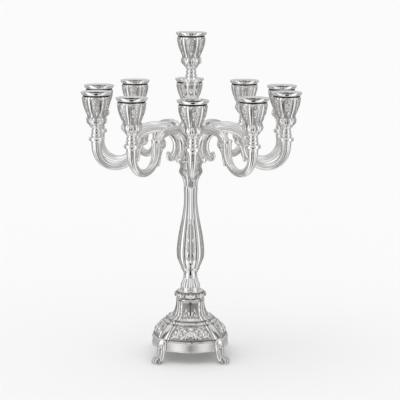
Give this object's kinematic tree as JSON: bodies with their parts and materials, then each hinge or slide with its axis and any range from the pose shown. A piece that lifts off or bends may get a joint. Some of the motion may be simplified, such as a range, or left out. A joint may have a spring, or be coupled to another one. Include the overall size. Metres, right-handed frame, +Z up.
{
  "type": "menorah",
  "caption": "Tall silver branched candelabrum: a ring of S-curved arms with chased cups around a raised centre light, on a baluster stem and footed square base.",
  "frame": {"origin": "on the ground, under the axis of the stem", "axes": "+Z up the stem; one arm points along -Y, which is the front; +X is to the right of it"},
  "size_m": [0.3252, 0.3396, 0.4974],
  "materials": {
    "chased_silver": "raised and chased silver sheet, polished",
    "cast_silver": "cast silver, polished",
    "polished_silver": "spun silver, mirror polished",
    "steel_hardware": "plain steel"
  },
  "bodies": {
    "stand": {"base_plinth": "chased_silver", "base_dome": "chased_silver", "base_collar": "chased_silver", "stem_knop": "chased_silver", "stem_baluster": "chased_silver", "stem_capital": "chased_silver", "branch_hub": "chased_silver", "centre_column": "chased_silver", "cup_00": "chased_silver", "cup_01": "chased_silver", "cup_02": "chased_silver", "cup_03": "chased_silver", "cup_04": "chased_silver", "cup_05": "chased_silver", "cup_06": "chased_silver", "cup_07": "chased_silver", "cup_08": "chased_silver", "cup_09": "chased_silver", "cup_10": "chased_silver", "foot_front_left": "cast_silver", "foot_front_right": "cast_silver", "foot_back_right": "cast_silver", "foot_back_left": "cast_silver", "arm_01": "cast_silver", "arm_02": "cast_silver", "arm_03": "cast_silver", "arm_04": "cast_silver", "arm_05": "cast_silver", "arm_06": "cast_silver", "arm_07": "cast_silver", "arm_08": "cast_silver", "arm_09": "cast_silver", "arm_10": "cast_silver", "socket_00": "cast_silver", "socket_01": "cast_silver", "socket_02": "cast_silver", "socket_03": "cast_silver", "socket_04": "cast_silver", "socket_05": "cast_silver", "socket_06": "cast_silver", "socket_07": "cast_silver", "socket_08": "cast_silver", "socket_09": "cast_silver", "socket_10": "cast_silver", "anchor_plate": "steel_hardware", "tie_rod": "steel_hardware", "tie_rod_nut": "steel_hardware", "cup_studs": "steel_hardware"},
    "insert_00": {"insert_00": "polished_silver"},
    "insert_01": {"insert_01": "polished_silver"},
    "insert_02": {"insert_02": "polished_silver"},
    "insert_03": {"insert_03": "polished_silver"},
    "insert_04": {"insert_04": "polished_silver"},
    "insert_05": {"insert_05": "polished_silver"},
    "insert_06": {"insert_06": "polished_silver"},
    "insert_07": {"insert_07": "polished_silver"},
    "insert_08": {"insert_08": "polished_silver"},
    "insert_09": {"insert_09": "polished_silver"},
    "insert_10": {"insert_10": "polished_silver"}
  },
  "joints": [
    {"name": "insert_00_lift", "type": "slide", "parent": "stand", "child": "insert_00", "axis": [0, 0, 1], "range_m": [0, 0.035]},
    {"name": "insert_01_lift", "type": "slide", "parent": "stand", "child": "insert_01", "axis": [0, 0, 1], "range_m": [0, 0.035]},
    {"name": "insert_02_lift", "type": "slide", "parent": "stand", "child": "insert_02", "axis": [0, 0, 1], "range_m": [0, 0.035]},
    {"name": "insert_03_lift", "type": "slide", "parent": "stand", "child": "insert_03", "axis": [0, 0, 1], "range_m": [0, 0.035]},
    {"name": "insert_04_lift", "type": "slide", "parent": "stand", "child": "insert_04", "axis": [0, 0, 1], "range_m": [0, 0.035]},
    {"name": "insert_05_lift", "type": "slide", "parent": "stand", "child": "insert_05", "axis": [0, 0, 1], "range_m": [0, 0.035]},
    {"name": "insert_06_lift", "type": "slide", "parent": "stand", "child": "insert_06", "axis": [0, 0, 1], "range_m": [0, 0.035]},
    {"name": "insert_07_lift", "type": "slide", "parent": "stand", "child": "insert_07", "axis": [0, 0, 1], "range_m": [0, 0.035]},
    {"name": "insert_08_lift", "type": "slide", "parent": "stand", "child": "insert_08", "axis": [0, 0, 1], "range_m": [0, 0.035]},
    {"name": "insert_09_lift", "type": "slide", "parent": "stand", "child": "insert_09", "axis": [0, 0, 1], "range_m": [0, 0.035]},
    {"name": "insert_10_lift", "type": "slide", "parent": "stand", "child": "insert_10", "axis": [0, 0, 1], "range_m": [0, 0.035]}
  ]
}
